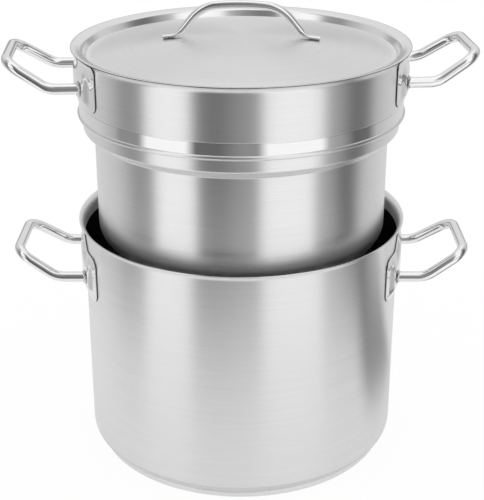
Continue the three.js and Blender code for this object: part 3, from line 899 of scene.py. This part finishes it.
pot_handle_height = POT_HEIGHT - POT_HANDLE_DROP
pot_bracket = bracket_outline(
    POT_BRACKET_FLANGE,
    POT_BRACKET_FOOT,
    POT_BRACKET_SHOULDER,
    pot_lip_start - POT_CREST_GAP - pot_handle_height,
    pot_lip_start - pot_handle_height,
    POT_LIP_BEND,
)
insert_handle_height = insert_height - INSERT_HANDLE_DROP
insert_curl_radius = INSERT_LIP_BEND - CLEARANCE - BRACKET_SHEET / 2
insert_bracket_curl = insert_curl_radius * math.radians(INSERT_BRACKET_TURN_DEG)
insert_bracket_top = insert_lip_start - insert_handle_height + insert_bracket_curl
insert_bracket = bracket_outline(
    INSERT_BRACKET_FLANGE,
    INSERT_BRACKET_FOOT,
    insert_bracket_top,
    insert_bracket_top,
    insert_lip_start - insert_handle_height,
    INSERT_LIP_BEND,
)

make_pot()
make_insert()
make_lid()
make_lid_handle()
make_handles("pot", POT_RADIUS, pot_bracket, pot_handle_height, 0)
insert_handle_place = insert_base + insert_handle_height
make_handles("insert", top_band_radius, insert_bracket, insert_handle_place, INSERT_TURN_DEG)
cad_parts["pot_base_core"].data.materials.clear()
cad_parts["pot_base_core"].data.materials.append(core_metal)

WHITE = (1, 1, 1, 1)
BLACK = (0, 0, 0, 1)

# The floor: a disc that keeps the pot's shadow and shows white to the camera, light grey in steel. Its
# radius and where it starts to fade into the backdrop are in millimetres. The shares are how much of
# it glows white to the camera and in steel, and the shade is how much darker it is in steel.
FLOOR_RADIUS = 520.0
FLOOR_RINGS = 26
FLOOR_SIDES = 96
FLOOR_CLEAR = 330.0
FLOOR_COLOUR = (0.96, 0.96, 0.96, 1)
FLOOR_CAMERA_SHARE = 0.95
FLOOR_GLOSS_SHARE = 0.52
FLOOR_GLOSS_SHADE = 0.12
# A dark card on the floor at the right, which only the steel shows: where it starts, its middle, its
# half depth and how soft its edges are, in millimetres, and how dark it is.
CARD_START = 210.0
CARD_MIDDLE = 40.0
CARD_HALF = 150.0
CARD_SOFT = 80.0
CARD_SHADE = 0.75


def make_floor():
    vertices = [(0, 0, 0)]
    faces = []
    for ring in range(1, FLOOR_RINGS + 1):
        for k in range(FLOOR_SIDES):
            angle = 2 * math.pi * k / FLOOR_SIDES
            reach = FLOOR_RADIUS * ring / FLOOR_RINGS
            vertices.append((reach * math.cos(angle), reach * math.sin(angle), 0))
    for k in range(FLOOR_SIDES):
        faces.append([0, 1 + k, 1 + (k + 1) % FLOOR_SIDES])
    for ring in range(FLOOR_RINGS - 1):
        for k in range(FLOOR_SIDES):
            a, b = 1 + ring * FLOOR_SIDES, 1 + (ring + 1) * FLOOR_SIDES
            n = (k + 1) % FLOOR_SIDES
            faces.append([a + k, b + k, b + n, a + n])
    material = bpy.data.materials.new("floor_white")
    material.use_nodes = True
    nodes = Nodes(material.node_tree)
    rays = nodes.add("ShaderNodeLightPath")
    place = nodes.add("ShaderNodeTexCoord").outputs["Object"]
    clear = nodes.remap(nodes.length(place), FLOOR_CLEAR * MM, FLOOR_RADIUS * MM, 0.0, 1.0)
    paper = nodes.add("ShaderNodeBsdfDiffuse", {"Color": FLOOR_COLOUR})
    glow = nodes.add("ShaderNodeEmission", {"Color": WHITE, "Strength": 1.0})
    in_metal = nodes.in_metal(rays)
    to_camera = nodes.math("MULTIPLY", rays.outputs["Is Camera Ray"], FLOOR_CAMERA_SHARE)
    share = nodes.math("MAXIMUM", to_camera, nodes.math("MULTIPLY", in_metal, FLOOR_GLOSS_SHARE))
    seen = nodes.math("MULTIPLY", rays.outputs["Is Camera Ray"], clear)
    share = nodes.math("MAXIMUM", share, seen)
    mix = nodes.add("ShaderNodeMixShader", {0: share, 1: paper.outputs[0], 2: glow.outputs[0]})
    parts = nodes.add("ShaderNodeSeparateXYZ", {0: place})
    card_full = CARD_START + CARD_SOFT
    beside = nodes.remap(parts.outputs[0], CARD_START * MM, card_full * MM, 0.0, CARD_SHADE)
    off_middle = nodes.math("ABSOLUTE", nodes.math("SUBTRACT", parts.outputs[1], CARD_MIDDLE * MM))
    across = nodes.remap(off_middle, (CARD_HALF - CARD_SOFT) * MM, CARD_HALF * MM, 1.0, 0.0)
    card = nodes.math("MAXIMUM", nodes.math("MULTIPLY", beside, across), FLOOR_GLOSS_SHADE)
    card = nodes.math("MULTIPLY", in_metal, card)
    black = nodes.add("ShaderNodeEmission", {"Color": BLACK, "Strength": 0.0})
    mix = nodes.add("ShaderNodeMixShader", {0: card, 1: mix.outputs[0], 2: black.outputs[0]})
    nodes.add("ShaderNodeOutputMaterial", {"Surface": mix.outputs[0]})
    floor = new_object("floor", vertices, faces, [material])


# The studio round the object, as shares of its white backdrop left open by the dark cards, by azimuth
# from the front (-Y): once for what stands at the sides and once for what hangs overhead.
SIDE_CARDS = (
    (-180, 0.74),
    (-135, 0.66),
    (-114, 0.6),
    (-97, 0.42),
    (-91, 0.27),
    (-74, 0.27),
    (-67, 1.0),
    (-38, 1.0),
    (-31, 0.14),
    (-15, 0.13),
    (0, 0.26),
    (11, 0.28),
    (18, 1.0),
    (56, 1.0),
    (62, 0.42),
    (74, 0.3),
    (84, 0.12),
    (97, 0.15),
    (107, 0.5),
    (120, 0.6),
    (140, 0.68),
    (180, 0.74),
)
OVERHEAD_CARDS = (
    (-180, 0.9),
    (-150, 1.0),
    (-120, 0.66),
    (-95, 0.4),
    (-87, 1.0),
    (-56, 1.0),
    (-46, 0.35),
    (-30, 0.3),
    (0, 0.35),
    (12, 0.9),
    (79, 1.0),
    (87, 0.4),
    (120, 0.66),
    (150, 1.0),
    (180, 0.9),
)
# Heights over the horizon, in degrees: where the overhead cards take over from the side ones, where
# the white zenith takes over from them, and between which a dark ledge runs all round. Then the share
# of light at the ledge, and the share of its height that is evenly dark.
OVERHEAD_FROM = 38.0
OVERHEAD_TO = 62.0
ZENITH_FROM = 66.0
ZENITH_TO = 76.0
LEDGE_LOW = -3.0
LEDGE_HIGH = 12.0
LEDGE_SHADE = 0.5
LEDGE_CORE_SHARE = 0.6


# The share of the backdrop that the cards leave open at each azimuth, from -180 to 180 degrees.
def card_ramp(nodes, place, cards):
    return nodes.ramp(place, [(deg / 360 + 0.5, share) for deg, share in cards])


def blend(nodes, share, first, second):
    node = nodes.add("ShaderNodeMix", {0: share, 6: first, 7: second}, data_type="RGBA")
    return node.outputs[2]


def make_world():
    world = bpy.data.worlds.new("studio")
    bpy.context.scene.world = world
    world.use_nodes = True
    nodes = Nodes(world.node_tree)
    direction = nodes.add("ShaderNodeTexCoord").outputs["Generated"]
    parts = nodes.add("ShaderNodeSeparateXYZ", {0: direction})
    turn = nodes.math("ARCTAN2", parts.outputs[0], nodes.math("MULTIPLY", parts.outputs[1], -1.0))
    place = nodes.math("ADD", nodes.math("DIVIDE", turn, 2 * math.pi), 0.5)
    sides = card_ramp(nodes, place, SIDE_CARDS)
    overhead = card_ramp(nodes, place, OVERHEAD_CARDS)
    rise = nodes.math("ARCSINE", parts.outputs[2])
    high = nodes.remap(rise, math.radians(OVERHEAD_FROM), math.radians(OVERHEAD_TO), 0.0, 1.0)
    cards = blend(nodes, high, sides, overhead)
    zenith = nodes.remap(rise, math.radians(ZENITH_FROM), math.radians(ZENITH_TO), 0.0, 1.0)
    cards = blend(nodes, zenith, cards, WHITE)
    middle = math.radians((LEDGE_LOW + LEDGE_HIGH) / 2)
    half = math.radians((LEDGE_HIGH - LEDGE_LOW) / 2)
    near = nodes.math("ABSOLUTE", nodes.math("SUBTRACT", rise, middle))
    ledge = nodes.remap(near, half * LEDGE_CORE_SHARE, half, LEDGE_SHADE, 1.0)
    in_metal = nodes.in_metal(nodes.add("ShaderNodeLightPath"))
    backdrop = nodes.add("ShaderNodeBackground", {"Color": WHITE, "Strength": 1.0})
    studio = nodes.add("ShaderNodeBackground", {"Color": cards, "Strength": ledge})
    mix = nodes.add("ShaderNodeMixShader", {0: in_metal, 1: backdrop.outputs[0], 2: studio.outputs[0]})
    nodes.add("ShaderNodeOutputWorld", {"Surface": mix.outputs[0]})


# The photograph's view, in millimetres: the camera's place, the point it looks at, its lens and
# sensor, and how near and far it sees.
CAMERA_PLACE = (0.0, -1159.3, 705.8)
CAMERA_TARGET = (0.73, 0.0, 201.95)
CAMERA_LENS = 87.22
CAMERA_SENSOR = 36
CAMERA_NEAR = 10.0
CAMERA_FAR = 20000.0


def make_camera():
    data = bpy.data.cameras.new("camera")
    camera = bpy.data.objects.new("camera", data)
    bpy.context.scene.collection.objects.link(camera)
    bpy.context.scene.camera = camera
    data.sensor_width = CAMERA_SENSOR
    data.lens = CAMERA_LENS
    data.clip_start = CAMERA_NEAR * MM
    data.clip_end = CAMERA_FAR * MM
    camera.location = Vector(CAMERA_PLACE) * MM
    target = Vector(CAMERA_TARGET) * MM
    camera.rotation_mode = "QUATERNION"
    camera.rotation_quaternion = (target - camera.location).to_track_quat("-Z", "Y")


make_floor()
make_world()
make_camera()

view_settings = bpy.context.scene.view_settings
view_settings.view_transform = "Standard"
